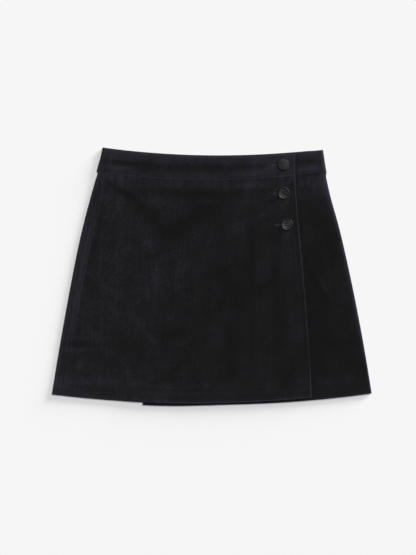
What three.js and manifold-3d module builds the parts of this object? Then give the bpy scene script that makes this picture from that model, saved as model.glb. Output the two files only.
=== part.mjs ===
// Wrap mini skirt in black cotton velvet, laid out flat with its front up.
// Lengths are millimetres: +X to the viewer's right, +Y towards the waist, +Z up from the surface
// that the skirt lies on. The back lies on that surface, and its left edge folds over to a side
// seam on the front. The underlap lies on the back, and the overlap on both. One waistband runs
// round all three, and 3 buttons close the overlap.
import * as THREE from 'three';
import { mergeVertices } from 'three/addons/utils/BufferGeometryUtils.js';
import Module from 'manifold-3d';

// Widths across the laid-out skirt, and how its sides flare below the waist seam
const waistWidth = 356.4;
const bandLowerWidth = 369.4;
const seamWidth = 366;
const sideFlare = 0.27;
const hipCurve = 0.000165;

// Level lines: their height at the sides, how far their middle hangs below that, and how much
// their left end is raised and their right end lowered
const waistLevel = { side: 206.6, dip: 11, tilt: 1.3 };
const seamLevel = { side: 171, dip: 13.9, tilt: -0.8 };
const hemLevel = { side: -187.4, dip: 18, tilt: 0 };
const bandWidth = waistLevel.side - seamLevel.side;
const sideLength = seamLevel.side - hemLevel.side;

// The overlap's wrap edge runs straight down past the waist seam, then slants out with a slight
// bow. The underlap's free edge, hidden behind the overlap, is its mirror image about mirrorX.
const wrapEdge = { atWaist: 133.4, atSeam: 134, straight: 25, slant: 0.114, bow: 0.000097 };
const mirrorX = 24.95;

// How far the side seams lie in from the folded sides: on the front at the left, below at the right
const leftSeamInset = 13.8;
const rightSeamInset = 11;
const seamInsetAtWaist = 6;
const seamInsetLength = 60;

// Walls: single velvet, thicker where the hem and the wrap edge's facing are turned in, and the
// interfaced waistband
const panelCloth = 1.5;
const turnIn = 0.8;
const hemDepth = 12;
const facingWidth = 32;
const turnInFade = 8;
const bandCloth = 2.6;

// Air between the walls, and how the underlap and the overlap settle onto what is below them
const seamGap = 0.3;
const restGap = 0.4;
const airGap = 1.8;
const hemAirGap = 1;
const settleWidth = 150;
const climbWidth = 18;
const seamLiftLength = 54;

// Where the front hems lie from the hem's level line: the overlap's rises towards its wrap edge,
// and the underlap's droops at its free edge
const overlapHemLift = { atSide: -1.4, atWrapEdge: 4.6 };
const underlapHemDroop = { atFreeEdge: 4, fade: 160 };

// Soft rolls, and hollows of negative height, that the front shows as it lies
const rolls = [
  { name: 'hip hollow', x: -134, y: 122, heading: -42, length: 100, width: 14, height: -0.9 },
  { name: 'hip roll', x: -148, y: 80, heading: 80, length: 100, width: 18, height: 0.7 },
  { name: 'left roll', x: -58, y: 56, heading: 98, length: 150, width: 20, height: 0.9 },
  { name: 'middle hollow', x: -8, y: 2, heading: 86, length: 150, width: 18, height: -0.8 },
  { name: 'right roll', x: 72, y: 20, heading: 82, length: 170, width: 20, height: 0.8 },
  { name: 'low roll', x: -104, y: -90, heading: -54, length: 100, width: 17, height: 0.8 },
  { name: 'low hollow', x: 14, y: -110, heading: 80, length: 90, width: 18, height: -0.6 },
  { name: 'side dent', x: -204, y: -112, heading: 4, length: 70, width: 13, height: -0.7 },
  { name: 'underlap roll', x: 184, y: -6, heading: -72, length: 90, width: 14, height: 0.9 },
];

// Buttons: a smooth one on the waistband, and two below it that are sewn through four holes
const buttonInset = 17.3;
const buttonDiameter = 19.2;
const buttonHole = { diameter: 2, spacing: 3.6 };
const buttons = [
  { name: 'button_waist', aboveSeam: 18, profile: smoothProfile, holes: 0 },
  { name: 'button_upper', aboveSeam: -27, profile: rimmedProfile, holes: 4 },
  { name: 'button_lower', aboveSeam: -77, profile: rimmedProfile, holes: 4 },
];

// How finely the walls are divided. The edge steps are the distances from an edge that round it.
const edgeSteps = [0.5, 1.3];
const rowCounts = { hem: 1, turnIn: 2, panel: 18, band: 3 };
const columnCounts = { toClimb: 8, climb: 2, toWrapEdge: 15, hidden: 9, shown: 8, floor: 12, lip: 1 };
const shownMargin = 20;
const foldSteps = 6;
const roundSegments = 24;

const { lerp, degToRad } = THREE.MathUtils;
const smooth = (t) => THREE.MathUtils.smoothstep(t, 0, 1);

// Height of a level line at a share across the skirt, from -1 at the left side to 1 at the right
function levelY(level, across) {
  return level.side - level.dip * (1 - across * across) - level.tilt * across;
}

function wrapEdgeX(down) {
  const slanted = Math.max(0, down - wrapEdge.straight);
  return wrapEdge.atSeam + wrapEdge.slant * slanted - wrapEdge.bow * slanted * slanted;
}

// A station is one level line across the skirt, with its widths, walls and air gaps. Panel
// stations run from 0 at the waist seam to 1 at the hem.
function panelStation(drop) {
  const down = drop * sideLength;
  const half = seamWidth / 2 + sideFlare * down - hipCurve * down * down;
  const hemShare = 1 - smooth((sideLength - down - hemDepth) / turnInFade);
  const seamShare = 1 - smooth(down / seamLiftLength);
  const insetShare = smooth(down / seamInsetLength);
  return {
    y: (x) => lerp(levelY(seamLevel, x / half), levelY(hemLevel, x / half), drop) - seamGap,
    hemShift: drop * drop,
    half,
    wrapX: wrapEdgeX(down),
    freeX: 2 * mirrorX - wrapEdgeX(down),
    leftInset: lerp(seamInsetAtWaist, leftSeamInset, insetShare),
    rightInset: lerp(seamInsetAtWaist, rightSeamInset, insetShare),
    cloth: panelCloth + turnIn * hemShare,
    facing: turnIn * (1 - hemShare),
    air: lerp(airGap, hemAirGap, hemShare),
    // the thicker waistband holds the panels up, until their middles meet its own
    firstLift: 1.5 * (bandCloth - panelCloth) * seamShare,
    secondLift: (bandCloth - panelCloth) * seamShare,
    rollShare: (1 - seamShare) * (1 - hemShare),
  };
}

// Waistband stations run from 0 at the waist seam to 1 at the waist's edge.
function bandStation(rise) {
  const half = lerp(bandLowerWidth, waistWidth, rise) / 2;
  const wrapX = lerp(wrapEdge.atSeam, wrapEdge.atWaist, rise);
  return {
    y: (x) => lerp(levelY(seamLevel, x / (seamWidth / 2)), levelY(waistLevel, x / half), rise),
    hemShift: 0,
    half,
    wrapX,
    freeX: 2 * mirrorX - wrapX,
    cloth: bandCloth,
    facing: 0,
    air: airGap,
    firstLift: 0,
    secondLift: 0,
    rollShare: 0,
  };
}

function rollHeight(x, y) {
  let height = 0;
  for (const roll of rolls) {
    const heading = degToRad(roll.heading);
    const dx = x - roll.x;
    const dy = y - roll.y;
    const along = (dx * Math.cos(heading) + dy * Math.sin(heading)) / (roll.length / 2);
    const across = (dy * Math.cos(heading) - dx * Math.sin(heading)) / roll.width;
    height += roll.height * Math.exp(-across * across - along * along);
  }
  return height;
}

// Undersides and tops of the two front layers, above the surface that the back lies on
function underlapHeights(station, x) {
  const risen = smooth((x - station.freeX) / settleWidth);
  const roll = risen * station.rollShare * rollHeight(x, station.y(x));
  const bottom = station.cloth + lerp(restGap, station.air, risen) + station.firstLift + roll;
  return { bottom, top: bottom + station.cloth };
}

function overlapHeights(station, x) {
  const roll = station.rollShare * rollHeight(x, station.y(x));
  const overBack = station.cloth + station.air + station.firstLift + roll;
  const under = underlapHeights(station, Math.max(x, station.freeX));
  const overUnderlap = under.top + restGap + station.secondLift;
  const climbed = smooth(1 + (x - station.freeX) / climbWidth);
  const faced = smooth(1 + (x - station.wrapX + facingWidth) / turnInFade);
  const bottom = lerp(overBack, overUnderlap, climbed);
  return { bottom, top: bottom + station.cloth + station.facing * faced };
}

// Positions along a line of stops, each stretch divided evenly by its own count. An end that is
// free has the edge steps too.
function divide(stops, counts, freeStart, freeEnd) {
  const first = stops[0];
  const last = stops.at(-1);
  const heading = Math.sign(last - first);
  const evenly = counts.flatMap((count, i) => (
    Array.from({ length: count }, (_, step) => lerp(stops[i], stops[i + 1], (step + 1) / count))));
  const startSteps = freeStart ? edgeSteps.map((step) => first + heading * step) : [];
  const endSteps = freeEnd ? edgeSteps.map((step) => last - heading * step).reverse() : [];
  return [first, ...startSteps, ...evenly.slice(0, -1), ...endSteps, last];
}

// A section is a row of points on the wall's outer face, each with its twin on the inner face. Its
// parts lie on a front layer, go round a folded side, or lie on the surface below.
function layerRun(station, heights, across) {
  return across.map((x) => {
    const { top, bottom } = heights(station, x);
    return { outer: [x, top], inner: [x, bottom] };
  });
}

function floorRun(station, across) {
  return across.map((x) => ({ outer: [x, 0], inner: [x, station.cloth] }));
}

// The half circle round a folded side, which rises at the left side (-1) and falls at the right (1)
function foldRun(station, side, fold) {
  return Array.from({ length: foldSteps - 1 }, (_, i) => {
    const angle = Math.PI * (i + 1) / foldSteps;
    const at = (radius) => [
      fold.x + side * Math.sin(angle) * radius,
      fold.radius + side * Math.cos(angle) * radius,
    ];
    return { outer: at(fold.radius), inner: at(fold.radius - station.cloth) };
  });
}

function leftFold(station) {
  const radius = overlapHeights(station, -station.half).top / 2;
  return { radius, x: radius - station.half };
}

function rightFold(station) {
  const radius = underlapHeights(station, station.half).top / 2;
  return { radius, x: station.half - radius };
}

// The underlap from its free edge and round the right fold, then on along the surface
function underlapColumns(station, floor) {
  const fold = rightFold(station);
  const stops = [station.freeX, station.wrapX - shownMargin, fold.x];
  const counts = [columnCounts.hidden, columnCounts.shown];
  return [
    ...layerRun(station, underlapHeights, divide(stops, counts, true, false)),
    ...foldRun(station, 1, fold),
    ...floorRun(station, floor),
  ];
}

function overlapColumns(station, startX, freeStart) {
  const stops = [startX, station.freeX - climbWidth, station.freeX, station.wrapX];
  const counts = [columnCounts.toClimb, columnCounts.climb, columnCounts.toWrapEdge];
  return layerRun(station, overlapHeights, divide(stops, counts, freeStart, true));
}

function backSection(station) {
  const fold = leftFold(station);
  const floor = [station.half - station.rightInset, fold.x];
  const lip = [fold.x, station.leftInset - station.half];
  return [
    ...floorRun(station, divide(floor, [columnCounts.floor], true, false)),
    ...foldRun(station, -1, fold),
    ...layerRun(station, overlapHeights, divide(lip, [columnCounts.lip], false, true)),
  ];
}

function underlapSection(station) {
  const floor = [rightFold(station).x, station.half - station.rightInset + seamGap];
  return underlapColumns(station, divide(floor, [columnCounts.lip], false, true));
}

function overlapSection(station) {
  return overlapColumns(station, station.leftInset - station.half + seamGap, true);
}

function bandSection(station) {
  const fold = leftFold(station);
  const floor = [rightFold(station).x, fold.x];
  return [
    ...underlapColumns(station, divide(floor, [columnCounts.floor], false, false)),
    ...foldRun(station, -1, fold),
    ...overlapColumns(station, fold.x, false),
  ];
}

// Share of a wall's thickness that is left at a distance from its rounded edge
function edgeShare(distance, cloth) {
  const t = Math.min(1, 2 * distance / cloth);
  return Math.max(0.35, Math.sqrt(t * (2 - t)));
}

// Distance of each point of a section from the nearer of the section's two ends
function endDistances(points) {
  const along = [0];
  for (let i = 1; i < points.length; i++) {
    const [x, z] = points[i].outer;
    const [lastX, lastZ] = points[i - 1].outer;
    along.push(along[i - 1] + Math.hypot(x - lastX, z - lastZ));
  }
  return along.map((distance) => Math.min(distance, along.at(-1) - distance));
}

// One row of a wall, from a station's section: pairs of points in space, thinned towards the free
// ends and by the row's own distance from the wall's hem or edge
function wallRow(station, section, shiftY, edgeDistance) {
  const points = section(station);
  const distances = endDistances(points);
  return points.map(({ outer, inner }, i) => {
    const share = edgeShare(Math.min(edgeDistance, distances[i]), station.cloth);
    const middle = [(outer[0] + inner[0]) / 2, (outer[1] + inner[1]) / 2];
    const y = station.y(middle[0]) + station.hemShift * shiftY(station, middle[0]);
    return [outer, inner].map(([x, z]) => (
      new THREE.Vector3(lerp(middle[0], x, share), y, lerp(middle[1], z, share))));
  });
}

// A closed wall from its rows, lowest first: outer face, inner face and the four edges
function wallGeometry(rows) {
  const columns = rows[0].length;
  const top = rows.length - 1;
  const right = columns - 1;
  const index = [];
  const outer = (row, column) => 2 * (row * columns + column);
  const inner = (row, column) => outer(row, column) + 1;
  const quad = (a, b, c, d) => index.push(a, b, c, a, c, d);
  for (let row = 0; row < top; row++) {
    for (let column = 0; column < right; column++) {
      const corners = [[row, column], [row, column + 1], [row + 1, column + 1], [row + 1, column]];
      quad(...corners.map((corner) => outer(...corner)));
      quad(...corners.map((corner) => inner(...corner)).reverse());
    }
    quad(outer(row, 0), outer(row + 1, 0), inner(row + 1, 0), inner(row, 0));
    quad(outer(row + 1, right), outer(row, right), inner(row, right), inner(row + 1, right));
  }
  for (let column = 0; column < right; column++) {
    quad(inner(0, column), inner(0, column + 1), outer(0, column + 1), outer(0, column));
    quad(outer(top, column), outer(top, column + 1), inner(top, column + 1), inner(top, column));
  }
  const geometry = new THREE.BufferGeometry();
  const positions = rows.flat(2).flatMap((point) => point.toArray());
  geometry.setAttribute('position', new THREE.Float32BufferAttribute(positions, 3));
  geometry.setIndex(index);
  return geometry;
}

function panelGeometry(section, shiftY) {
  const stops = [0, hemDepth, hemDepth + turnInFade, sideLength];
  const counts = [rowCounts.hem, rowCounts.turnIn, rowCounts.panel];
  return wallGeometry(divide(stops, counts, true, false).map((fromHem) => (
    wallRow(panelStation(1 - fromHem / sideLength), section, shiftY, fromHem))));
}

function bandGeometry() {
  return wallGeometry(divide([0, bandWidth], [rowCounts.band], true, true).map((fromSeam) => (
    wallRow(bandStation(fromSeam / bandWidth), bandSection, () => 0,
      Math.min(fromSeam, bandWidth - fromSeam)))));
}

function overlapShift(station, x) {
  const across = (x + station.half) / (station.wrapX + station.half);
  return lerp(overlapHemLift.atSide, overlapHemLift.atWrapEdge, across);
}

// The back's hem follows the overlap's where that droops, as they meet at the side seam.
function backShift(station, x) {
  return Math.min(0, overlapShift(station, x));
}

function underlapShift(station, x) {
  const fade = smooth((x - station.freeX) / underlapHemDroop.fade);
  return underlapHemDroop.atFreeEdge * (fade - 1);
}

// Half outlines of the buttons, as radius and height above the button's underside
function rimmedProfile(radius) {
  return [[0, 0], [radius - 2, 0], [radius - 0.4, 0.9], [radius, 1.8], [radius - 0.2, 2.7],
    [radius - 0.9, 3.2], [radius - 1.8, 3], [radius - 2.6, 2.2], [radius - 4.4, 1.8],
    [radius - 4.9, 2.1], [radius - 5.5, 1.7], [0, 1.6]];
}

function smoothProfile(radius) {
  return [[0, 0], [radius - 2.4, 0], [radius - 0.5, 1], [radius, 1.9], [radius - 0.3, 2.5],
    [radius - 1.2, 2.9], [radius - 2.4, 2.95], [radius * 0.4, 3.1], [0, 3.15]];
}

function lathed(profile) {
  const points = profile.map(([radius, height]) => new THREE.Vector2(radius, height));
  return new THREE.LatheGeometry(points, roundSegments).rotateX(Math.PI / 2);
}

const wasm = await Module();
wasm.setup();

function solidOf(geometry) {
  const bare = geometry.clone();
  bare.deleteAttribute('normal');
  bare.deleteAttribute('uv');
  const merged = mergeVertices(bare, 1e-4);
  return new wasm.Manifold(new wasm.Mesh({
    numProp: 3,
    vertProperties: merged.attributes.position.array,
    triVerts: new Uint32Array(merged.index.array),
  }));
}

function geometryOf(solid) {
  const { vertProperties, triVerts } = solid.getMesh();
  const geometry = new THREE.BufferGeometry();
  geometry.setAttribute('position', new THREE.BufferAttribute(vertProperties, 3));
  geometry.setIndex(new THREE.BufferAttribute(triVerts, 1));
  return geometry;
}

function buttonGeometry({ profile, holes }) {
  let solid = solidOf(lathed(profile(buttonDiameter / 2)));
  for (let i = 0; i < holes; i++) {
    const angle = Math.PI / 4 + i * 2 * Math.PI / holes;
    const away = buttonHole.spacing / Math.SQRT2;
    const radius = buttonHole.diameter / 2;
    const drill = new THREE.CylinderGeometry(radius, radius, buttonDiameter, 8);
    drill.rotateX(Math.PI / 2).translate(away * Math.cos(angle), away * Math.sin(angle), 0);
    solid = solid.subtract(solidOf(drill));
  }
  return geometryOf(solid);
}

function stationAt(aboveSeam) {
  return aboveSeam > 0 ? bandStation(aboveSeam / bandWidth) : panelStation(-aboveSeam / sideLength);
}

// Where a button sits on the overlap, turned with the slope there and clear of the cloth below it
function buttonSeat(aboveSeam) {
  const station = stationAt(aboveSeam);
  const x = station.wrapX - buttonInset;
  const reach = buttonDiameter / 2;
  const height = (dx, dy) => overlapHeights(stationAt(aboveSeam + dy), x + dx).top;
  const slopeX = (height(reach, 0) - height(-reach, 0)) / (2 * reach);
  const slopeY = (height(0, reach) - height(0, -reach)) / (2 * reach);
  const ends = [-reach, 0, reach];
  const proud = ends.flatMap((dx) => ends.map((dy) => height(dx, dy) - slopeX * dx - slopeY * dy));
  const normal = new THREE.Vector3(-slopeX, -slopeY, 1).normalize();
  return { normal, place: new THREE.Vector3(x, station.y(x), Math.max(...proud) + seamGap) };
}

const velvet = { color: 0x1e1d21, roughness: 0.95, metalness: 0 };
const resin = { color: 0x2e2e2f, roughness: 0.45, metalness: 0 };
const skirt = new THREE.Group();

function addPiece(name, geometry, look) {
  const piece = new THREE.Mesh(geometry, new THREE.MeshStandardMaterial(look));
  piece.name = name;
  skirt.add(piece);
  return piece;
}

addPiece('back_panel', panelGeometry(backSection, backShift), velvet);
addPiece('underlap_panel', panelGeometry(underlapSection, underlapShift), velvet);
addPiece('overlap_panel', panelGeometry(overlapSection, overlapShift), velvet);
addPiece('waistband', bandGeometry(), velvet);

for (const button of buttons) {
  const { normal, place } = buttonSeat(button.aboveSeam);
  const piece = addPiece(button.name, buttonGeometry(button), resin);
  piece.position.copy(place);
  piece.quaternion.setFromUnitVectors(new THREE.Vector3(0, 0, 1), normal);
}

export default skirt;
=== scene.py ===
# Wrap mini skirt in black cotton velvet, laid out flat with its front up. Lengths are metres in the
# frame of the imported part: +X to the viewer's right, +Y towards the waist, +Z up.
from math import cos, pi, radians, sin
from types import SimpleNamespace

import bmesh
import bpy
import numpy as np
from mathutils import Matrix, Vector, noise


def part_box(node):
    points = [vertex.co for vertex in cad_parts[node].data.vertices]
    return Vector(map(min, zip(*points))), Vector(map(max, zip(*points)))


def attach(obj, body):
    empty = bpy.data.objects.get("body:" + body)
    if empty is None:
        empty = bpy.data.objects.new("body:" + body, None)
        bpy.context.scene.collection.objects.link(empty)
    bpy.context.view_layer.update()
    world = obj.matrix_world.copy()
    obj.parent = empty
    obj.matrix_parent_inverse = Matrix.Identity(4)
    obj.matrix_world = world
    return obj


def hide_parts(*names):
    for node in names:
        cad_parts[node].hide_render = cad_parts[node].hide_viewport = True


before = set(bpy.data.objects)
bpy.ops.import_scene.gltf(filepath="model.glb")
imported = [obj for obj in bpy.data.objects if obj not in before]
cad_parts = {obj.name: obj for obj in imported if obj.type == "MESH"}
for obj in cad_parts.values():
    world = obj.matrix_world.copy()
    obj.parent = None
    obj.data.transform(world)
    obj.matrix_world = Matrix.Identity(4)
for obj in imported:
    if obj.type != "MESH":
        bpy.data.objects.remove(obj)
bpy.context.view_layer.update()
mm = 0.001


# The surface that the skirt is photographed on: matt white card under studio light. A softbox
# hangs overhead towards the upper right and a low one stands that way too, so that the soft
# shadows fall to the left and below.

card_size = 9.0


def linear(hex_colour):
    """An sRGB colour such as "#1e1d21" as the linear RGBA that the shaders take."""
    channels = [int(hex_colour[i:i + 2], 16) / 255 for i in (1, 3, 5)]
    return [c / 12.92 if c <= 0.04045 else ((c + 0.055) / 1.055) ** 2.4 for c in channels] + [1.0]


def add_node(tree, kind, inputs=None, **settings):
    """Adds a node with its settings. An input that is a socket is linked, any other is set."""
    node = tree.nodes.new(kind)
    for name, value in settings.items():
        setattr(node, name, value)
    for name, value in (inputs or {}).items():
        if isinstance(value, bpy.types.NodeSocket):
            tree.links.new(value, node.inputs[name])
        else:
            node.inputs[name].default_value = value
    return node


def new_material(name):
    material = bpy.data.materials.new(name)
    material.use_nodes = True
    material.node_tree.nodes.clear()
    return material, material.node_tree


def finish_material(material, shader):
    tree = material.node_tree
    add_node(tree, "ShaderNodeOutputMaterial", {"Surface": shader.outputs["BSDF"]})
    return material


def object_from(bm, name, material):
    """The bmesh as a new smooth-shaded object in the scene."""
    mesh = bpy.data.meshes.new(name)
    bm.to_mesh(mesh)
    bm.free()
    mesh.materials.append(material)
    mesh.shade_smooth()
    piece = bpy.data.objects.new(name, mesh)
    bpy.context.collection.objects.link(piece)
    return piece


# matt card: an uncoated white board, which scatters light evenly and has a faint tooth
def white_card():
    material, tree = new_material("matt_white_card")
    place = add_node(tree, "ShaderNodeTexCoord").outputs["Object"]
    tooth = add_node(tree, "ShaderNodeTexNoise", {"Vector": place, "Scale": 1 / (1.1 * mm), "Detail": 3.0})
    bump = add_node(tree, "ShaderNodeBump",
                    {"Height": tooth.outputs["Fac"], "Strength": 0.1, "Distance": 0.1 * mm})
    return finish_material(material, add_node(tree, "ShaderNodeBsdfPrincipled", {
        "Base Color": linear("#e9e9e9"), "Roughness": 1.0, "Specular IOR Level": 0.0,
        "Normal": bump.outputs["Normal"]}))


bm = bmesh.new()
bmesh.ops.create_grid(bm, x_segments=8, y_segments=8, size=card_size / 2)
bmesh.ops.translate(bm, verts=bm.verts, vec=(0, 0, -0.05 * mm))
card = object_from(bm, "card", white_card())


def add_softbox(name, elevation, azimuth, spread, strength):
    """A far round softbox, spread degrees across, at a bearing that turns from +X towards +Y."""
    light = bpy.data.lights.new(name, "SUN")
    light.angle = radians(spread)
    light.energy = strength
    softbox = bpy.data.objects.new(name, light)
    towards = Vector((cos(radians(elevation)) * cos(radians(azimuth)),
                      cos(radians(elevation)) * sin(radians(azimuth)), sin(radians(elevation))))
    softbox.location = towards * 2
    softbox.rotation_euler = towards.to_track_quat("Z", "Y").to_euler()
    bpy.context.collection.objects.link(softbox)


add_softbox("softbox_overhead", elevation=70, azimuth=40, spread=26, strength=2.56)
add_softbox("softbox_low", elevation=13.5, azimuth=40, spread=23, strength=4.35)

studio = bpy.data.worlds.new("studio")
studio.use_nodes = True
studio.node_tree.nodes["Background"].inputs["Color"].default_value = linear("#f4f5f7")
studio.node_tree.nodes["Background"].inputs["Strength"].default_value = 0.045
bpy.context.scene.world = studio
bpy.context.scene.view_settings.view_transform = "Standard"

# The camera looks straight down from 3.2 m through a long lens. The photograph is 416 pixels wide,
# its waistband and buttons make a pixel 1.62 mm, and its middle lies a little left of the skirt's.
photo_width = 416
pixel = 1.62 * mm
photo_middle = Vector((-6.3 * mm, -0.9 * mm))
camera_height = 3.2

lens = bpy.data.cameras.new("camera")
lens.sensor_fit = "HORIZONTAL"
lens.lens = lens.sensor_width * camera_height / (photo_width * pixel)
camera = bpy.data.objects.new("camera", lens)
camera.location = (*photo_middle, camera_height)
bpy.context.collection.objects.link(camera)
bpy.context.scene.camera = camera


# Back panel: one piece of black cotton velvet, cut wide enough for its left edge to fold over to
# the front. It is pinked at the side seams, turned up 12 mm at the hem and topstitched. The skirt's
# whole lie is worked out here, as the other panels follow the same level lines.

seam_width = 366 * mm
side_flare = 0.27
hip_curve = 0.000165 / mm

# level lines, as the height of their ends, the hang of their middle and the tilt of their ends
waist_level = (207.9 * mm, 11.4 * mm, 1.5 * mm)
seam_level = (171 * mm, 13.9 * mm, -0.8 * mm)
hem_level = (-188.2 * mm, 18 * mm, 0)
side_length = seam_level[0] - hem_level[0]

wrap_edge_at_seam = 134 * mm
wrap_edge_straight = 25 * mm
wrap_edge_slant = 0.114
wrap_edge_bow = 0.000097 / mm
wrap_edge_swell = 2.6 * mm
swell_below_seam = 32 * mm
swell_reach = 30 * mm
mirror_x = 24.95 * mm

left_seam_inset = 13.8 * mm
right_seam_inset = 11 * mm
seam_inset_at_waist = 6 * mm
seam_inset_length = 60 * mm

panel_cloth = 1.5 * mm
turn_in = 0.8 * mm
hem_depth = 12 * mm
facing_width = 32 * mm
turn_in_fade = 8 * mm
facing_fade = 26 * mm
crease_hem_fade = 9 * mm
band_cloth = 2.6 * mm

seam_gap = 0.3 * mm
rest_gap = 0.4 * mm
air_gap = 1.8 * mm
hem_air_gap = 1 * mm
settle_width = 150 * mm
climb_width = 55 * mm
seam_lift_length = 54 * mm

overlap_hem_lift = (-1.4 * mm, 4.6 * mm)

# a row of topstitching: its distance from the folded edge, and the channel it pulls into the velvet
topstitch_inset = 7 * mm
topstitch_depth = 0.15 * mm
topstitch_channel = 1.1 * mm

# the large soft rolls and hollows of the front: x, y, heading, length, width, height
rolls = [
    (-134, 122, -42, 100, 14, -0.9),
    (-148, 80, 80, 100, 18, 0.7),
    (-58, 56, 98, 150, 20, 0.9),
    (-8, 2, 86, 150, 18, -0.8),
    (72, 20, 82, 170, 20, 0.8),
    (-104, -90, -54, 100, 17, 0.8),
    (14, -110, 80, 90, 18, -0.6),
    (-204, -112, 4, 70, 13, -0.7),
    (184, -6, -72, 90, 14, 0.9),
]

# smaller creases and marks in the nap: x, y, heading, length, width and height, and how far
# the pile leans over, where more is paler, with painted shade in the creases and painted light on the
# ridges
creases = [
    # the pull across the left hip, a V whose arms meet below the waist
    (-142, 137, -34, 65, 4.2, -0.3, -0.15),
    (-97, 95, -49, 81, 8.5, -0.25, -0.12),
    (-34, 93, 36, 105, 11, -0.24, -0.12),
    (-6, 107, 20, 48, 9, -0.15, -0.08),
    (-64, 76, 12, 44, 9, 0, -0.07),
    (-76, 118, -24, 81, 10.5, 0.2, 0.02),
    (62, 94, 27, 139, 9.7, 0.25, 0.06),
    # hollows below the waistband, with painted shade in them, and the paler cloth above them
    (-30, 134, -1, 150, 7.5, -0.18, -0.14),
    (81, 141, 4, 81, 4.9, -0.1, -0.04),
    (56, 149, 6, 60, 8, 0.1, 0.1),
    (148, 146, 20, 20, 4, -0.2, -0.04),
    (168, 153, 2, 66, 12, 0.1, 0.15),
    (168, 137, 0, 60, 12, 0, 0.06),
    (185, 125, -70, 50, 13, 0.1, 0.05),
    # about the buttons, with painted light where their cast shadows fall on the cloth
    (117, 115, 60, 26, 4.2, 0.15, 0.05),
    (104, 126, 20, 39, 4.2, -0.15, -0.06),
    (128, 157, 58, 15, 2.1, 0.15, 0.14),
    (112, 131, 45, 30, 12, 0, 0.1),
    (117, 80, 45, 30, 12, 0, 0.12),
    (120, 44, 85, 68, 9.7, 0.15, 0.09),
    # the left half of the front
    (-152, 102, 78, 71, 13, 0.15, 0.05),
    (-188, 55, 77, 97, 4.9, -0.15, -0.1),
    (-100, 52, -60, 32, 8.9, 0.15, 0.1),
    (-90, 34, 20, 55, 3.5, -0.15, -0.1),
    (-50, 14, 84, 62, 9, 0.22, 0.09),
    (-91, -8, 80, 81, 13, 0.2, 0.11),
    (-162, -37, 78, 146, 14.6, 0.15, 0.03),
    (-100, -45, 80, 113, 6.5, -0.12, -0.05),
    (-115, -76, -54, 71, 4.9, 0.22, 0.13),
    (-68, -91, 10, 39, 11.3, -0.15, -0.11),
    (-136, -112, -40, 65, 11.3, -0.2, -0.09),
    (-217, -107, 4, 42, 5.5, -0.35, -0.15),
    (-210, -116, 0, 75, 2.3, 0.12, 0.1),
    (-58, -158, 85, 45, 8, -0.2, -0.1),
    # the middle
    (0, 47, -60, 42, 8.9, 0.15, 0.06),
    (26, -8, -62, 58, 12.2, -0.25, -0.15),
    (16, -37, 55, 55, 5, -0.12, -0.08),
    (46, 52, 80, 49, 6.5, 0.1, 0.04),
    (81, -15, 22, 58, 9.7, -0.2, -0.12),
    (75, -38, 15, 90, 22, 0, -0.03),
    (104, -10, 55, 39, 9.7, 0.1, 0.05),
    (-11, -86, 86, 146, 13, 0.15, 0),
    (63, -73, 89, 243, 3.1, -0.08, -0.06),
    (28, -142, 88, 80, 9, -0.1, -0.06),
    (127, -151, 72, 65, 6.5, -0.2, -0.09),
    (60, -90, 90, 300, 75, 0, -0.03),
    # the underlap beside the wrap edge
    (191, 117, -78, 71, 8.1, 0.15, 0.06),
    (172, 53, 80, 136, 16.2, -0.1, -0.06),
    (178, -10, -60, 58, 4.9, 0.25, 0.18),
    (166, -90, 87, 140, 15, -0.1, -0.12),
    (196, -109, 4, 75, 9, -0.15, -0.09),
    (203, 8, -77, 220, 15, 0, -0.02),
    (188, -72, -80, 110, 26, 0, -0.02),
]

# the columns of these tables that hold a fold's height and how far its pile leans over, which also carries
# painted light and shade
height_column = 5
lean_and_shade_column = 6


def smooth(t):
    """An eased step: 0 up to t = 0, 1 from t = 1 on."""
    t = np.clip(t, 0, 1)
    return t * t * (3 - 2 * t)


def bell(distance, width):
    """1 at no distance, dying out over about twice the width."""
    return np.exp(-(distance / width) ** 2)


def blend(a, b, t):
    return a + (b - a) * t


def level_y(level, across):
    """The height of a level line at a share of the half width, from -1 at the left to 1."""
    side, dip, tilt = level
    return side - dip * (1 - across * across) - tilt * across


def wrap_edge_x(down):
    """The wrap edge's place across, which runs straight, then slants and bows on its way down."""
    slanted = max(0, down - wrap_edge_straight)
    swell = wrap_edge_swell * bell(down - swell_below_seam, swell_reach)
    return wrap_edge_at_seam + wrap_edge_slant * slanted - wrap_edge_bow * slanted * slanted + swell


# How the hips push the left side out, and how the right side is drawn in under the waist: the push,
# its height on the skirt and its reach. The first fades out towards the waist and the second towards
# the waist seam. There the right side stands out again, over the outer share of its half width, to
# meet the waistband, whose sides sway to the right.
left_ease = (-2.9 * mm, 78 * mm, 105 * mm)
left_ease_fade = 60 * mm
right_ease = (-1.8 * mm, 130 * mm, 36 * mm)
right_ease_fade = 12 * mm
seam_flare = 2.4 * mm
flare_reach = 5.5 * mm
flare_start, flare_fade = 0.8, 0.2
waist_sway = 1.6 * mm
sway_level = 172 * mm
sway_fade = 34 * mm


def flared(x, half):
    """How far the right side stands out at the seam, clear of the wrap edge."""
    return seam_flare * smooth((x / half - flare_start) / flare_fade)


def eased(station, x, y):
    """The place across of a point, once the sides have settled into their outline."""
    left, right = (push * bell(y - level, reach) for push, level, reach in (left_ease, right_ease))
    left = left * smooth((waist_level[0] - y) / left_ease_fade)
    right = right * smooth((seam_level[0] - y) / right_ease_fade)
    sway = waist_sway * smooth((y - sway_level) / sway_fade) * (x / station.half) ** 2
    flare = flared(x, station.half) * bell(station.down, flare_reach)
    return x + left * smooth(-x / station.half) + right * smooth(x / station.half) + sway + flare


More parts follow.
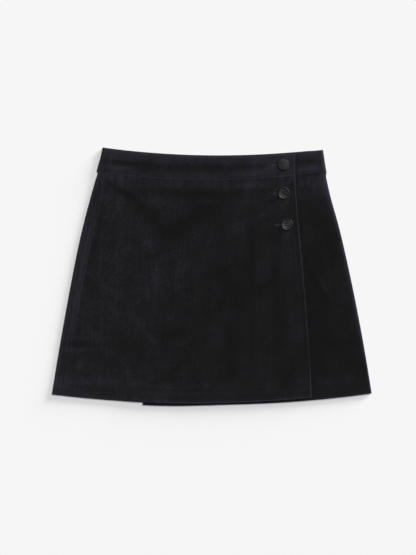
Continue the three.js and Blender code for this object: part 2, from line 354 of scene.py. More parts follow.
def panel_station(from_hem):
    """One level line across the panels, by its distance from the hem along the side.

    Near the waist seam the lifts raise the layers to meet the middles of the waistband's thicker ones.
    """
    down = side_length - from_hem
    drop = down / side_length
    half = seam_width / 2 + side_flare * down - hip_curve * down * down
    hem_share = float(1 - smooth((from_hem - hem_depth) / turn_in_fade))
    seam_share = float(1 - smooth(down / seam_lift_length))
    inset_share = float(smooth(down / seam_inset_length))
    return SimpleNamespace(
        y=lambda x: blend(level_y(seam_level, x / half), level_y(hem_level, x / half), drop) - seam_gap,
        half=half, hem_shift=drop * drop, from_hem=from_hem, down=down,
        wrap_x=wrap_edge_x(down), free_x=2 * mirror_x - wrap_edge_x(down),
        left_inset=blend(seam_inset_at_waist, left_seam_inset, inset_share),
        right_inset=blend(seam_inset_at_waist, right_seam_inset, inset_share),
        cloth=panel_cloth + turn_in * hem_share, facing=turn_in * (1 - hem_share),
        air=blend(air_gap, hem_air_gap, hem_share),
        first_lift=1.5 * (band_cloth - panel_cloth) * seam_share,
        second_lift=(band_cloth - panel_cloth) * seam_share,
        roll_share=(1 - seam_share) * (1 - hem_share))


def fold_sum(folds, column, x, y):
    """What a table of folds adds at points of the front, from one of its columns."""
    total = np.zeros_like(x)
    for fold in folds:
        dx, dy = x - fold[0] * mm, y - fold[1] * mm
        turn = radians(fold[2])
        along = (dx * cos(turn) + dy * sin(turn)) / (fold[3] * mm / 2)
        across = (dy * cos(turn) - dx * sin(turn)) / (fold[4] * mm)
        total += fold[column] * bell(along, 1) * bell(across, 1)
    return total


def unevenness(x, y):
    """The slight waviness of cloth that has been handled, about 0.1 mm high."""
    waves = [noise.noise(Vector((a / (34 * mm), b / (46 * mm), 0.3))) * 0.16 * mm
             + noise.noise(Vector((a / (11 * mm), b / (15 * mm), 5.1))) * 0.05 * mm
             for a, b in zip(x, y)]
    return np.array(waves)


def seam_tucks(x, from_seam, height, spacing, drift, drift_length, reach):
    """The fine uneven tucks that a seam draws into the cloth, which die out over reach."""
    wave = np.sin(x / spacing + drift * np.sin(x / drift_length))
    return height * (wave * np.exp(-from_seam / reach))


def front_relief(station, x):
    """What lies over the plain lie of a front layer: rolls, creases, tucks at the waist seam."""
    y = station.y(x)
    tucks = seam_tucks(x, station.down, height=0.16 * mm, spacing=3.1 * mm, drift=2.2,
                       drift_length=23 * mm, reach=13 * mm)
    small = mm * fold_sum(creases, height_column, x, y) + unevenness(x, y) + tucks
    rolled = station.roll_share * mm * fold_sum(rolls, height_column, x, y)
    return rolled + small * smooth(station.from_hem / crease_hem_fade)


def underlap_top(station, x):
    risen = smooth((x - station.free_x) / settle_width)
    bottom = station.cloth + blend(rest_gap, station.air, risen) + station.first_lift
    return bottom + risen * front_relief(station, x) + station.cloth


def overlap_top(station, x):
    over_back = station.cloth + station.air + station.first_lift + front_relief(station, x)
    over_underlap = underlap_top(station, np.maximum(x, station.free_x)) + rest_gap + station.second_lift
    climbed = smooth(1 + (x - station.free_x) / climb_width)
    faced = smooth(1 + (x - station.wrap_x + facing_width) / facing_fade)
    return blend(over_back, over_underlap, climbed) + station.cloth + station.facing * faced


def left_fold(station):
    radius = float(overlap_top(station, np.array([-station.half]))[0]) / 2
    return SimpleNamespace(radius=radius, x=radius - station.half, side=-1)


def spread(stops, counts):
    """Positions along a line of stops, each stretch divided evenly into its own count."""
    stretches = [np.linspace(a, b, count, endpoint=False)
                 for a, b, count in zip(stops, stops[1:], counts)]
    return np.concatenate([*stretches, [stops[-1]]])


def fold_round(fold, steps):
    """Points of the half circle round a folded side, up the left side or down the right one."""
    angle = np.pi * np.arange(1, steps) / steps
    return (fold.x + fold.side * fold.radius * np.sin(angle),
            fold.radius + fold.side * fold.radius * np.cos(angle))


fold_steps = 14
# painted sheen on the rounded folds at the sides of the front
left_fold_painted_sheen = 0.3
right_fold_painted_sheen = 0.34

# rows across a panel, closer together at the turned hem, its topstitching and the waist seam
panel_rows = spread(
    [0, 1.5 * mm, 5.5 * mm, 8.5 * mm, 12 * mm, 20 * mm, side_length - 24 * mm, side_length - 5 * mm,
     side_length], [2, 3, 6, 2, 4, 104, 10, 5])


# cotton velvet, woven with a short cut pile: it drinks light where the pile faces the eye, and
# turns blue-grey where it lies over and in brush streaks. Its colour also carries painted sheen
# along folded edges and seams, and painted light and shade on the slopes and creases of the cloth
def cotton_velvet():
    material, tree = new_material("black_cotton_velvet")
    place = add_node(tree, "ShaderNodeTexCoord").outputs["Object"]
    # patches of disturbed nap, about 25 mm across
    patches = add_node(tree, "ShaderNodeTexNoise",
                       {"Vector": place, "Scale": 1 / (25 * mm), "Detail": 3.0, "Roughness": 0.6})
    # brush streaks that follow the length of the skirt, 4 mm wide and 60 mm long
    stretched = add_node(tree, "ShaderNodeMapping", {
        "Vector": place, "Scale": (1 / (4 * mm), 1 / (60 * mm), 1 / (60 * mm))})
    streaks = add_node(tree, "ShaderNodeTexNoise",
                       {"Vector": stretched.outputs["Vector"], "Scale": 1.0, "Detail": 4.0})
    # the mottle of pile that leans together, 3.5 mm across
    mottle = add_node(tree, "ShaderNodeTexNoise",
                      {"Vector": place, "Scale": 1 / (3.5 * mm), "Detail": 3.0, "Roughness": 0.65})
    # tufts of pile: the real ones are 0.3 mm apart, drawn at 0.6 mm so that they show
    tufts = add_node(tree, "ShaderNodeTexNoise",
                     {"Vector": place, "Scale": 1 / (0.6 * mm), "Detail": 2.0, "Roughness": 0.7})
    shares = ((patches, 0.28), (streaks, 0.2), (mottle, 0.38), (tufts, 0.24))
    uneven = -0.5 * sum(share for texture, share in shares)
    for texture, share in shares:
        uneven = add_node(tree, "ShaderNodeMath", {0: texture.outputs["Fac"], 1: share, 2: uneven},
                          operation="MULTIPLY_ADD").outputs["Value"]
    # pile that lies right over lies more evenly, and so does the cloth under painted highlights
    nap_and_painted_light = add_node(tree, "ShaderNodeAttribute", attribute_name="nap_and_painted_light").outputs["Fac"]
    looseness = add_node(tree, "ShaderNodeMath", {0: nap_and_painted_light, 1: -1.8, 2: 1.05},
                         operation="MULTIPLY_ADD", use_clamp=True).outputs["Value"]
    lean = add_node(tree, "ShaderNodeMath", {0: uneven, 1: looseness, 2: nap_and_painted_light},
                    operation="MULTIPLY_ADD").outputs["Value"]
    pile = add_node(tree, "ShaderNodeValToRGB", {"Fac": add_node(
        tree, "ShaderNodeMath", {0: lean, 1: 0.45}, operation="ADD").outputs["Value"]})
    ramp = pile.color_ramp
    ramp.elements[0].position = 0.3
    ramp.elements[0].color = linear("#0b0b0c")
    ramp.elements[1].position = 0.85
    ramp.elements[1].color = linear("#2c2a35")
    ramp.elements.new(0.47).color = linear("#121214")
    bump = add_node(tree, "ShaderNodeBump", {
        "Height": tufts.outputs["Fac"], "Strength": 0.3, "Distance": 0.2 * mm})
    return finish_material(material, add_node(tree, "ShaderNodeBsdfPrincipled", {
        "Base Color": pile.outputs["Color"], "Roughness": 0.9, "Specular IOR Level": 0.12,
        "Sheen Weight": 0.3, "Sheen Roughness": 0.3, "Sheen Tint": linear("#b9bbd0"),
        "Normal": bump.outputs["Normal"]}))


velvet = cotton_velvet()


# how far the nap leans over, with painted shading, on cloth that slopes up to the right and up to
# the waist, and at most
slope_lean_and_shade = (-0.5, 1.2)
most_slope_lean_and_shade = 0.08
least_run = 1e-7


def lay_cloth(name, stations, section, shift, wall, rounding):
    """A cloth piece whose rows are sections at stations, from a grid that is moved into place."""
    rows = []
    for station in stations:
        x, z, light, front = section(station)
        y = station.y(x) + station.hem_shift * shift(station, x)
        place = np.stack([eased(station, x, y), y, z], axis=1)
        rows.append((place, light, front, np.full_like(x, station.cloth / wall)))
    points, light, front, share = (np.array(parts) for parts in zip(*rows))
    rise_y = np.gradient(points[..., 2], axis=0) / np.gradient(points[..., 1], axis=0)
    run_x = np.gradient(points[..., 0], axis=1)
    run_x = np.where(np.abs(run_x) < least_run, least_run, run_x)
    rise_x = np.gradient(points[..., 2], axis=1) / run_x
    # painted shading: paler where the cloth rises towards the waist, darker where it rises to the right
    lean_and_shade = slope_lean_and_shade[1] * rise_y + slope_lean_and_shade[0] * rise_x
    light = light + front * np.clip(lean_and_shade, -most_slope_lean_and_shade, most_slope_lean_and_shade)

    last_row, last_column = points.shape[0] - 1, points.shape[1] - 1
    bm = bmesh.new()
    bmesh.ops.create_grid(bm, x_segments=last_column, y_segments=last_row, size=0.5)
    nap_and_painted_light = bm.verts.layers.float.new("nap_and_painted_light")
    weights = bm.verts.layers.deform.new()
    for vert in bm.verts:
        place = (round((vert.co.y + 0.5) * last_row), round((vert.co.x + 0.5) * last_column))
        vert[nap_and_painted_light] = light[place]
        vert[weights][0] = share[place]
        vert.co = points[place]
    piece = object_from(bm, name, velvet)
    piece.vertex_groups.new(name="wall")
    solidify = piece.modifiers.new("wall", "SOLIDIFY")
    solidify.thickness = wall
    solidify.offset = -1
    solidify.vertex_group = "wall"
    edges = piece.modifiers.new("rounded_edges", "BEVEL")
    edges.width = rounding
    edges.segments = 3
    edges.limit_method = "ANGLE"
    edges.angle_limit = radians(50)
    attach(piece, "root")
    return piece


def stitched(distance):
    """The slight channel that a row of topstitching pulls into the velvet."""
    return -topstitch_depth * bell(distance - topstitch_inset, topstitch_channel)


def open_cloth(*distances):
    """A share that fades out towards edges and seams, where the cloth's own slopes paint no shading."""
    share = 1
    for distance in distances:
        share = share * smooth((distance - 10 * mm) / (5 * mm))
    return share


def overlap_shift(station, x):
    across = (x + station.half) / (station.wrap_x + station.half)
    return blend(*overlap_hem_lift, across)


def back_shift(station, x):
    return np.minimum(0, overlap_shift(station, x))


def tone_line(distance, lean, width):
    """A line of paler colour, or darker below zero, used both for leaning nap and for painted light and
    shade.
    """
    return lean * bell(distance, width)


def side_light(station, x):
    """Painted sheen along the folded sides of the front and a painted highlight beside the left seam, more
    so above the hem.
    """
    raised = 0.3 + 0.7 * float(smooth((station.from_hem - 30 * mm) / (110 * mm)))
    hip = 1 - 0.7 * float(smooth((station.from_hem - 240 * mm) / (80 * mm)))
    left, right = x + station.half, station.half - x
    left_seam = raised * hip * tone_line(left - left_seam_inset, lean=0.15, width=5 * mm)
    painted_sheen_left = tone_line(left, lean=0.2, width=4 * mm) + tone_line(left, lean=0.06, width=30 * mm)
    painted_sheen_right = tone_line(right, lean=0.34, width=3.6 * mm) + tone_line(right, lean=0.12, width=10 * mm)
    return painted_sheen_left + left_seam + raised * painted_sheen_right


def hem_light(station):
    """The pile is open where the hem is turned up."""
    return 0.06 * float(smooth((38 * mm - station.from_hem) / (10 * mm)))


def waist_light(station):
    """A painted highlight on the waist seam, painted shade in the ditch below it, and paler cloth for a
    little way below it.
    """
    line = tone_line(station.down, lean=0.19, width=1.1 * mm)
    ditch = tone_line(station.down - 2.6 * mm, lean=-0.06, width=1 * mm)
    return line + ditch + tone_line(station.down, lean=0.08, width=11 * mm)


def front_light(station, x):
    """All the nap marks and painted light and shade of the front panels, their own edges apart."""
    marks = fold_sum(creases, lean_and_shade_column, x, station.y(x))
    return marks + side_light(station, x) + waist_light(station) + hem_light(station)


def seam_ditch(distance, depth=0.2 * mm, width=1.2 * mm):
    """The slight groove along a side seam."""
    return -depth * bell(distance, width)


def back_section(station):
    """The outer face from the right seam over the floor, round the left fold and up to the left seam."""
    fold = left_fold(station)
    floor_x = spread([station.half - station.right_inset, station.half - station.right_inset - 6 * mm,
                      fold.x], [4, 96])
    floor_z = np.full_like(floor_x, -stitched(station.from_hem))
    fold_x, fold_z = fold_round(fold, fold_steps)
    lip_x = spread([fold.x, station.left_inset - station.half - 2 * mm,
                    station.left_inset - station.half], [5, 3])
    to_seam = station.left_inset - station.half - lip_x
    lip_z = overlap_top(station, lip_x) + seam_ditch(to_seam) + stitched(station.from_hem)
    light = [np.full_like(floor_x, hem_light(station)), np.full_like(fold_x, left_fold_painted_sheen),
             front_light(station, lip_x)]
    front = [np.zeros_like(floor_x), np.zeros_like(fold_x), np.zeros_like(lip_x)]
    return (np.concatenate([floor_x, fold_x, lip_x]), np.concatenate([floor_z, fold_z, lip_z]),
            np.concatenate(light), np.concatenate(front))


panel_stations = [panel_station(from_hem) for from_hem in panel_rows]
panel_wall = panel_cloth + turn_in
panel_rounding = 0.6 * mm
back = lay_cloth("back", panel_stations, back_section, back_shift, panel_wall, panel_rounding)
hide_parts("back_panel")


# mercerised cotton thread: two twisted plies with a dull sheen, too fine here to show its twist
def sewing_thread(name, colour):
    material, tree = new_material(name)
    place = add_node(tree, "ShaderNodeTexCoord").outputs["Object"]
    plies = add_node(tree, "ShaderNodeTexNoise", {"Vector": place, "Scale": 1 / (0.4 * mm), "Detail": 2.0})
    bump = add_node(tree, "ShaderNodeBump",
                    {"Height": plies.outputs["Fac"], "Strength": 0.4, "Distance": 0.1 * mm})
    return finish_material(material, add_node(tree, "ShaderNodeBsdfPrincipled", {
        "Base Color": linear(colour), "Roughness": 0.8, "Specular IOR Level": 0.1,
        "Normal": bump.outputs["Normal"]}))


black_thread = sewing_thread("black_sewing_thread", "#141416")

stitch_length = 2.7 * mm
stitch_pitch = 3.4 * mm
thread_radius = 0.24 * mm
stitch_sunk = 0.04 * mm


def add_stitch(bm, start, end, radius):
    """One visible stitch, a soft grain of thread from start to end."""
    run = end - start
    grain = bmesh.ops.create_uvsphere(bm, u_segments=6, v_segments=5, radius=1.0)["verts"]
    turn = run.to_track_quat("Z", "Y").to_matrix().to_4x4()
    size = Matrix.Diagonal((radius, radius, run.length / 2, 1))
    bmesh.ops.transform(bm, matrix=Matrix.Translation((start + end) / 2) @ turn @ size, verts=grain)


def hem_row(section, shift):
    """The line of stitches above a hem, along a piece's outer face from one seam or edge to the other."""
    station = panel_station(topstitch_inset)
    x, z = section(station)[:2]
    y = station.y(x) + station.hem_shift * shift(station, x)
    run, rise = np.gradient(x), np.gradient(z)
    sunk = stitch_sunk / np.hypot(run, rise)
    return [Vector(point) for point in zip(eased(station, x, y) + sunk * rise, y, z - sunk * run)]


def thread_piece(bm, name, thread):
    piece = object_from(bm, name, thread)
    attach(piece, "root")
    return piece


def topstitching(name, line):
    """One row of stitches along a line of points, clear of its ends."""
    bm = bmesh.new()
    steps = [0.0]
    for a, b in zip(line, line[1:]):
        steps.append(steps[-1] + (b - a).length)
    place = np.array([list(point) for point in line])
    for number in range(1, int(steps[-1] / stitch_pitch)):
        ends = [number * stitch_pitch, number * stitch_pitch + stitch_length]
        start, end = (Vector([np.interp(at, steps, place[:, axis]) for axis in range(3)]) for at in ends)
        add_stitch(bm, start, end, thread_radius)
    return thread_piece(bm, name, black_thread)


back_stitches = topstitching("back_topstitching", hem_row(back_section, back_shift))


# Underlap: the front panel that lies beneath, in the same velvet. It is cut in one with the right
# side, which folds round to a seam on the underside, and its turned hem droops at its free edge.

underlap_hem_droop = 4 * mm
underlap_droop_fade = 160 * mm


def right_fold(station):
    radius = float(underlap_top(station, np.array([station.half]))[0]) / 2
    return SimpleNamespace(radius=radius, x=station.half - radius, side=1)


def underlap_shift(station, x):
    return underlap_hem_droop * (smooth((x - station.free_x) / underlap_droop_fade) - 1)


def hem_edge_painted_sheen(station):
    """A painted sheen along the folded edge of the hem."""
    return tone_line(station.from_hem, lean=0.36, width=1.8 * mm)


def underlap_section(station):
    """The outer face from the free edge, round the right fold and to the right seam."""
    fold = right_fold(station)
    top_x = spread([station.free_x, station.free_x + 2 * mm, station.free_x + 10 * mm,
                    station.wrap_x - 16 * mm, fold.x], [2, 8, 38, 44])
    to_edge, beyond_wrap = top_x - station.free_x, top_x - station.wrap_x
    top_z = underlap_top(station, top_x) + stitched(to_edge) + stitched(station.from_hem)
    # the underlap is darker than the overlap throughout, with painted shadow beside the wrap edge that
    # lies over it
    shade = tone_line(beyond_wrap - 1 * mm, lean=-0.07, width=5 * mm) - 0.075
    # painted sheen along the hem's edge, left off where the overlap shades it
    painted_hem_edge = hem_edge_painted_sheen(station) * smooth(beyond_wrap / (4 * mm))
    top_light = front_light(station, top_x) + shade + painted_hem_edge
    fold_x, fold_z = fold_round(fold, fold_steps)
    seam_x = station.half - station.right_inset + seam_gap
    floor_x = spread([fold.x, seam_x + 2 * mm, seam_x], [5, 2])
    floor_z = np.full_like(floor_x, -stitched(station.from_hem))
    light = [top_light, np.full_like(fold_x, right_fold_painted_sheen),
             np.full_like(floor_x, hem_light(station))]
    front = [open_cloth(to_edge, station.from_hem) + 0 * top_x, 0 * fold_x, 0 * floor_x]
    return (np.concatenate([top_x, fold_x, floor_x]), np.concatenate([top_z, fold_z, floor_z]),
            np.concatenate(light), np.concatenate(front))


underlap = lay_cloth("underlap", panel_stations, underlap_section, underlap_shift, panel_wall,
                     panel_rounding)
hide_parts("underlap_panel")
underlap_stitches = topstitching("underlap_topstitching", hem_row(underlap_section, underlap_shift))


# Overlap: the velvet front panel on top, seamed to the back at the left. Its wrap edge is turned in
# over a facing, topstitched down to the hem, and carries two of the three worked buttonholes.


def overlap_section(station):
    """The outer face from the left seam, over the underlap's free edge and to the wrap edge."""
    seam_x = station.left_inset - station.half + seam_gap
    # columns, closer together at the topstitching and at each end
    x = spread([seam_x, seam_x + 2 * mm, seam_x + 12 * mm, station.free_x - climb_width, station.free_x,
                station.wrap_x - 16 * mm, station.wrap_x - 8.5 * mm, station.wrap_x - 5.5 * mm,
                station.wrap_x - 1.6 * mm, station.wrap_x], [3, 6, 28, 7, 84, 4, 6, 3, 2])
    to_wrap = station.wrap_x - x
    z = overlap_top(station, x) + seam_ditch(x - seam_x)
    z = z + stitched(to_wrap) + stitched(station.from_hem)
    # a painted highlight along the folded wrap edge, and a faint darker line 3 mm in from it
    painted_wrap_edge = tone_line(to_wrap, lean=0.28, width=1.3 * mm) + tone_line(to_wrap - 3 * mm, lean=-0.05, width=1.2 * mm)
    painted_hem_edge = hem_edge_painted_sheen(station) * (0.35 + 0.65 * smooth((x + 110 * mm) / (50 * mm)))
    paler_left = 0.045 * smooth((-30 * mm - x) / (120 * mm)) - 0.02
    light = front_light(station, x) + painted_wrap_edge + painted_hem_edge + paler_left
    return x, z, light, open_cloth(to_wrap, x - seam_x, station.from_hem)


overlap = lay_cloth("overlap", panel_stations, overlap_section, overlap_shift, panel_wall, panel_rounding)
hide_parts("overlap_panel")


def on_front(station, x, top, raised):
    """A point over the wrap, whose height is top, raised above the cloth or sunk into it."""
    x = np.array([x])
    y = station.y(x) + station.hem_shift * overlap_shift(station, x)
    return Vector((eased(station, x, y)[0], y[0], top(station, x)[0] + raised))


row_heights = np.linspace(topstitch_inset, side_length - 2 * mm, 90)
wrap_row = [on_front(station, station.wrap_x - topstitch_inset, overlap_top,
                     -topstitch_depth - stitch_sunk)
            for station in map(panel_station, row_heights)]
up_to_corner = [point for point in hem_row(overlap_section, overlap_shift) if point.x < wrap_row[0].x]
overlap_stitches = topstitching("overlap_topstitching", up_to_corner + wrap_row)

# Each buttonhole is a slit closed round with satin stitches in a slightly paler thread, and its
# button sits over the right half of it.
button_inset = 17.3 * mm
upper_button_below_seam = 27 * mm
button_spacing = 50 * mm
hole_length = 22 * mm
hole_left_of_button = 18.8 * mm
slit_half = 0.25 * mm
satin_reach = 2.1 * mm
satin_slant = 0.1 * mm
satin_pitch = 0.5 * mm
satin_radius = 0.3 * mm
bar_outset = 0.5 * mm
bar_half_width = 0.9 * mm
bar_half_length = 1.35 * mm
bar_strands = 7

# how far the stitches stand out of the velvet, along the slit, at their outer ends and at the bars
satin_rise = 0.25 * mm
outer_rise = 0.05 * mm
bar_rise = 0.15 * mm

grey_thread = sewing_thread("buttonhole_twist", "#36343d")


def panel_line(below_seam):
    """The level lines about a button of the overlap, by how far above it they pass."""
    return lambda above: panel_station(side_length - below_seam + above)


def buttonhole(name, level_line, top):
    """A slit across the wrap, worked along both sides and barred at both ends."""
    left = level_line(0).wrap_x - button_inset - hole_left_of_button
    bm = bmesh.new()
    for x in np.arange(left, left + hole_length, satin_pitch):
        for side in (-1, 1):
            inner = on_front(level_line(side * slit_half), x, top, satin_rise)
            outer = on_front(level_line(side * satin_reach), x + side * satin_slant, top, outer_rise)
            add_stitch(bm, inner, outer, satin_radius)
    for end in (left - bar_outset, left + hole_length + bar_outset):
        for above in np.linspace(-bar_half_length, bar_half_length, bar_strands):
            bar = [on_front(level_line(above), end + out, top, bar_rise)
                   for out in (-bar_half_width, bar_half_width)]
            add_stitch(bm, *bar, satin_radius)
    return thread_piece(bm, name, grey_thread)


upper_line = panel_line(upper_button_below_seam)
lower_line = panel_line(upper_button_below_seam + button_spacing)
overlap_holes = [buttonhole("buttonhole_upper", upper_line, overlap_top),
                 buttonhole("buttonhole_lower", lower_line, overlap_top)]


# Waistband: one strip of the velvet, folded double over interfacing. It starts at the underlap's
# free edge, runs round the back and ends at the wrap edge, and is seamed to all three panels.

waist_width = 356.4 * mm
band_lower_width = 370.6 * mm
band_width = waist_level[0] - seam_level[0]
wrap_edge_at_waist = 133.4 * mm
corner_droop = 0.8 * mm
droop_start, droop_fade = 0.84, 0.1
band_rows = spread([0, 2.5 * mm, band_width - 2.5 * mm, band_width], [4, 16, 4])

# creases across the strip and marks in its nap, with painted shade in the creases, in the columns of the
# panels' own
band_creases = [
    (-133, 185, -6, 97, 4.6, -0.45, -0.15),
    (-26, 178, -2, 130, 7, -0.35, -0.12),
    (54, 180, 2, 113, 4.6, -0.2, -0.06),
    (68, 167, 3, 97, 6.5, 0.15, 0.05),
    (-147, 177, -4, 36, 2.6, 0.25, 0.1),
    (90, 173, 8, 56, 4.5, -0.1, 0.08),
    (105, 174, -38, 28, 7, 0, 0.13),
    (148, 189, 4, 30, 5, -0.3, -0.07),
    (162, 177, 6, 55, 6, 0.3, 0.12),
    (-168, 190, 60, 30, 6, 0.25, 0.04),
]


def across_seam(x):
    """The share of the panels' seam line that lies at x, as the right side stands out to meet the band."""
    return x / (seam_width / 2 + flared(x, seam_width / 2))


def band_station(from_seam):
    """One level line across the waistband, by its height above the waist seam."""
    rise = from_seam / band_width
    half = blend(band_lower_width, waist_width, rise) / 2
    wrap_x = blend(wrap_edge_at_seam, wrap_edge_at_waist, rise)
    return SimpleNamespace(
        y=lambda x: blend(level_y(seam_level, across_seam(x)), level_y(waist_level, x / half)
                          - corner_droop * smooth((x / half - droop_start) / droop_fade), rise),
        half=half, hem_shift=0, from_hem=side_length, down=side_length, from_seam=from_seam,
        wrap_x=wrap_x, free_x=2 * mirror_x - wrap_x, cloth=band_cloth, facing=0, air=air_gap,
        first_lift=0, second_lift=0, roll_share=0)


def band_relief(station, x):
    """Creases along the strip, and the tucks that the seam below draws into it."""
    tucks = seam_tucks(x, station.from_seam, height=0.14 * mm, spacing=4.4 * mm, drift=1.7,
                       drift_length=31 * mm, reach=7 * mm)
    return mm * fold_sum(band_creases, height_column, x, station.y(x)) + tucks


def band_light(station, x):
    """The band's colour, with painted sheen along its folded top and folded sides, a painted highlight on
    its seam and painted shade in the ditch beside it.
    """
    below_top = band_width - station.from_seam
    top = tone_line(below_top, lean=0.3, width=2.6 * mm) + tone_line(below_top, lean=0.1, width=9 * mm)
    seam = tone_line(station.from_seam, lean=0.17, width=1.1 * mm)
    ditch = tone_line(station.from_seam - 2.8 * mm, lean=-0.05, width=1 * mm)
    return 0.09 + top + seam + ditch + tone_line(station.half - np.abs(x), lean=0.16, width=5 * mm)


def band_front_light(station, x):
    return band_light(station, x) + fold_sum(band_creases, lean_and_shade_column, x, station.y(x))


def band_top(station, x):
    return overlap_top(station, x) + band_relief(station, x)


def band_section(station):
    """The outer face from the underlap's free edge, round both folds and to the wrap edge."""
    to_right, to_left = right_fold(station), left_fold(station)
    under_x = spread([station.free_x, station.free_x + 2 * mm, station.wrap_x - 16 * mm, to_right.x],
                     [3, 50, 28])
    right_x, right_z = fold_round(to_right, fold_steps)
    floor_x = spread([to_right.x, to_left.x], [110])
    left_x, left_z = fold_round(to_left, fold_steps)
    over_x = spread([to_left.x, station.free_x - climb_width, station.free_x,
                     station.wrap_x - 3 * mm, station.wrap_x], [34, 8, 88, 4])
    settled = smooth((under_x - station.wrap_x + 25 * mm) / (25 * mm))
    under_z = underlap_top(station, under_x) + settled * band_relief(station, under_x)
    # painted shadow beside the wrap edge on the layer beneath, and a painted highlight along the edge
    shade = tone_line(under_x - station.wrap_x - 2 * mm, lean=-0.1, width=6 * mm)
    painted_wrap_edge = tone_line(station.wrap_x - over_x, lean=0.24, width=1.3 * mm)
    light = [band_front_light(station, under_x) + shade, np.full_like(right_x, right_fold_painted_sheen),
             band_light(station, floor_x), np.full_like(left_x, left_fold_painted_sheen),
             band_front_light(station, over_x) + painted_wrap_edge]
    inside = float(open_cloth(station.from_seam + 8 * mm, band_width - station.from_seam + 8 * mm))
    front = [inside * np.ones_like(under_x), 0 * right_x, 0 * floor_x, 0 * left_x,
             inside * open_cloth(station.wrap_x - over_x)]
    return (np.concatenate([under_x, right_x, floor_x, left_x, over_x]),
            np.concatenate([under_z, right_z, floor_x * 0, left_z, band_top(station, over_x)]),
            np.concatenate(light), np.concatenate(front))


band_stations = [band_station(from_seam) for from_seam in band_rows]
waistband = lay_cloth("waistband_strip", band_stations, band_section, lambda station, x: 0 * x,
                      band_cloth, rounding=0.9 * mm)
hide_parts("waistband")

waist_button_above_seam = 18 * mm


def waist_line(above):
    return band_station(waist_button_above_seam + above)


waist_hole = buttonhole("buttonhole_waist", waist_line, band_top)


# Buttons: dark grey resin, turned from rod. The waistband's is a smooth low dome with a matt face, and
# the two below it are tumbled, with a raised rim, a dished middle and four holes for the thread.

button_radius = 9.6 * mm
button_left_of_solid = 1 * mm
hole_radius = 1.0 * mm
hole_spacing = 3.6 * mm
drill_length = 8 * mm
drill_middle = 1.6 * mm

# half outlines from the middle of the underside to the middle of the top, in mm: how far out each
# corner is, its height, and from how far off it is rounded
domed_outline = [(0, 0, 0), (9.6, 0, 1.9), (9.6, 2.78, 0.9), (5, 3.12, 3), (0, 3.15, 0)]
rimmed_outline = [(0, 0, 0), (9.6, 0, 1.8), (9.6, 3.25, 1.1), (8.1, 3.2, 0.7), (6.4, 2.35, 0.9),
                  (5, 2.3, 0.3), (4.7, 2.7, 0.3), (4.2, 2.1, 0.3), (0, 2.05, 0)]


# cast polyester resin: near black with faint grey clouding, tumbled to a soft gloss or left matt
def button_resin(name, gloss):
    material, tree = new_material(name)
    place = add_node(tree, "ShaderNodeTexCoord").outputs["Object"]
    clouding = add_node(tree, "ShaderNodeTexNoise",
                        {"Vector": place, "Scale": 1 / (5 * mm), "Detail": 4.0, "Distortion": 0.8})
    tone = add_node(tree, "ShaderNodeValToRGB", {"Fac": clouding.outputs["Fac"]})
    tone.color_ramp.elements[0].position = 0.4
    tone.color_ramp.elements[0].color = linear("#0f0f10")
    tone.color_ramp.elements[1].position = 0.62
    tone.color_ramp.elements[1].color = linear("#252526")
    wear = add_node(tree, "ShaderNodeTexNoise", {"Vector": place, "Scale": 1 / (0.6 * mm), "Detail": 3.0})
    bump = add_node(tree, "ShaderNodeBump",
                    {"Height": wear.outputs["Fac"], "Strength": 0.15, "Distance": 0.05 * mm})
    return finish_material(material, add_node(tree, "ShaderNodeBsdfPrincipled", {
        "Base Color": tone.outputs["Color"], "Roughness": 0.45, "IOR": 1.5, "Specular IOR Level": gloss,
        "Normal": bump.outputs["Normal"]}))


matt_resin = button_resin("matt_polyester_resin", gloss=0.1)
tumbled_resin = button_resin("tumbled_polyester_resin", gloss=0.22)


def rounded(corners, steps=5):
    """The outline through corners, each of which is eased into a curve between its two sides."""
    points = [Vector(corners[0][:2])]
    for before, corner, after in zip(corners, corners[1:], corners[2:]):
        at = Vector(corner[:2])
        start = at + corner[2] * (Vector(before[:2]) - at).normalized()
        end = at + corner[2] * (Vector(after[:2]) - at).normalized()
        for step in range(steps + 1):
            t = step / steps
            points.append((1 - t) ** 2 * start + 2 * t * (1 - t) * at + t * t * end)
    return points + [Vector(corners[-1][:2])]


def turned(outline):
    """A button blank: its outline spun round its own upright axis."""
    bm = bmesh.new()
    verts = [bm.verts.new((point.x * mm, 0, point.y * mm)) for point in rounded(outline)]
    edges = [bm.edges.new(pair) for pair in zip(verts, verts[1:])]
    bmesh.ops.spin(bm, geom=verts + edges, axis=(0, 0, 1), cent=(0, 0, 0), angle=2 * pi, steps=80,
                   use_merge=True)
    bmesh.ops.remove_doubles(bm, verts=bm.verts, dist=0.001 * mm)
    bmesh.ops.recalc_face_normals(bm, faces=bm.faces)
    return bm


def drill(piece):
    """Cuts the four holes through a button."""
    bm = bmesh.new()
    away = hole_spacing / 2
    for x, y in ((-away, -away), (-away, away), (away, -away), (away, away)):
        bmesh.ops.create_cone(bm, cap_ends=True, segments=24, radius1=hole_radius, radius2=hole_radius,
                              depth=drill_length, matrix=Matrix.Translation((x, y, drill_middle)))
    drills = object_from(bm, "drills", tumbled_resin)
    cut = piece.modifiers.new("holes", "BOOLEAN")
    cut.operation = "DIFFERENCE"
    cut.solver = "EXACT"
    cut.object = drills
    bpy.context.view_layer.update()
    shaped = bpy.data.meshes.new_from_object(piece.evaluated_get(bpy.context.evaluated_depsgraph_get()))
    piece.modifiers.clear()
    piece.data = shaped
    bpy.data.objects.remove(drills)


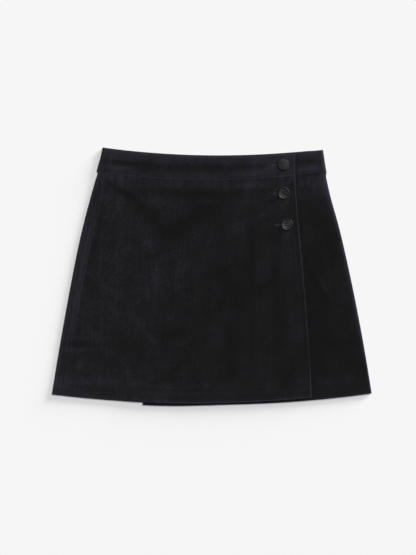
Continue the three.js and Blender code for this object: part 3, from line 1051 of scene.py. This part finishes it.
def slope_under(level_line):
    """How the wrap slopes under a button, from its height on each side of it."""
    x = level_line(0).wrap_x - button_inset

    def height(dx, dy):
        return float(overlap_top(level_line(dy), np.array([x + dx]))[0])

    return ((height(button_radius, 0) - height(-button_radius, 0)) / (2 * button_radius),
            (height(0, button_radius) - height(0, -button_radius)) / (2 * button_radius))


def set_button(name, node, outline, resin, level_line):
    """A button moved into its solid's box and turned with the cloth, and the matrix that does it."""
    piece = object_from(turned(outline), name, resin)
    if outline == rimmed_outline:
        drill(piece)
    across, up = slope_under(level_line)
    tilt = Vector((0, 0, 1)).rotation_difference(Vector((-across, -up, 1))).to_matrix().to_4x4()
    piece.data.transform(tilt)
    places = np.array([vert.co for vert in piece.data.vertices])
    own_middle = Vector((places.min(axis=0) + places.max(axis=0)) / 2)
    low, high = (Vector(corner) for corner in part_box(node))
    seat = Matrix.Translation((low + high) / 2 - own_middle - Vector((button_left_of_solid, 0, 0)))
    piece.data.transform(seat)
    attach(piece, "root")
    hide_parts(node)
    return seat @ tilt


strand_spacing = 0.35 * mm
strand_radius = 0.26 * mm
strand_level = 2.2 * mm
leg_ends = (-0.5 * mm, 2.3 * mm)


def sew_on(name, seated):
    """Three turns of black thread through each pair of holes, pulled tight to the cloth."""
    bm = bmesh.new()
    away = hole_spacing / 2
    for y in [side * away + strand * strand_spacing for side in (-1, 1) for strand in (-1, 0, 1)]:
        bar = [Vector((x, y, strand_level)) for x in (-away, away)]
        legs = [[Vector((x, y, z)) for z in leg_ends] for x in (-away, away)]
        for start, end in [bar, *legs]:
            add_stitch(bm, seated @ start, seated @ end, strand_radius)
    thread_piece(bm, name, black_thread)


set_button("resin_button_waist", "button_waist", domed_outline, matt_resin, waist_line)
upper_seat = set_button("resin_button_upper", "button_upper", rimmed_outline, tumbled_resin, upper_line)
lower_seat = set_button("resin_button_lower", "button_lower", rimmed_outline, tumbled_resin, lower_line)
sew_on("button_thread_upper", upper_seat)
sew_on("button_thread_lower", lower_seat)


bpy.context.view_layer.update()
